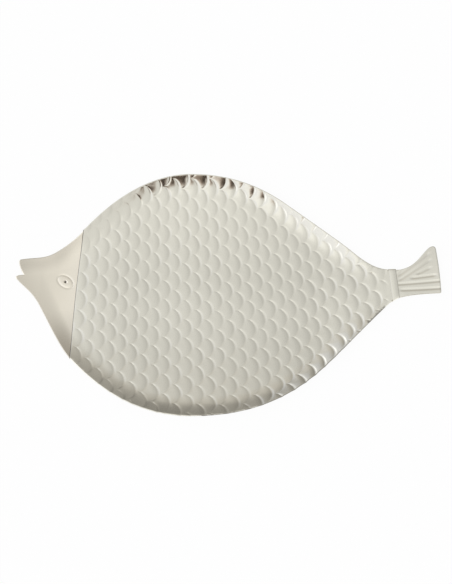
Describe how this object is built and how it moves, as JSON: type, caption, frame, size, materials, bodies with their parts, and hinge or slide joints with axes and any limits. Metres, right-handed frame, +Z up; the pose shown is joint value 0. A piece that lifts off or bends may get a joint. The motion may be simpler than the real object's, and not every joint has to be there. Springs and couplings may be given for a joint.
{
  "type": "fish platter",
  "caption": "Fish-shaped silver-plated serving platter: a dished tray chased with overlapping scales, a plain head with an eye, and a collared fan tail.",
  "frame": {"origin": "under the middle of the platter, on the flat underside that it stands on", "axes": "+X from the snout to the tail along the length, +Y towards the fish's back, +Z up out of the dish"},
  "size_m": [0.5016, 0.2954, 0.0215],
  "materials": {
    "polished_silver": "polished silver plate over brass sheet, lightly toned in the chased lines",
    "satin_silver": "satin silver plate over brass sheet, rubbed brighter on raised edges",
    "shaded_silver": "darkened silver plate over brass"
  },
  "bodies": {
    "root": {"body_dish": "polished_silver", "head_plate": "satin_silver", "eye_boss": "satin_silver", "eye_rivet": "shaded_silver", "tail_collar": "polished_silver", "tail_fin": "polished_silver"}
  },
  "joints": []
}
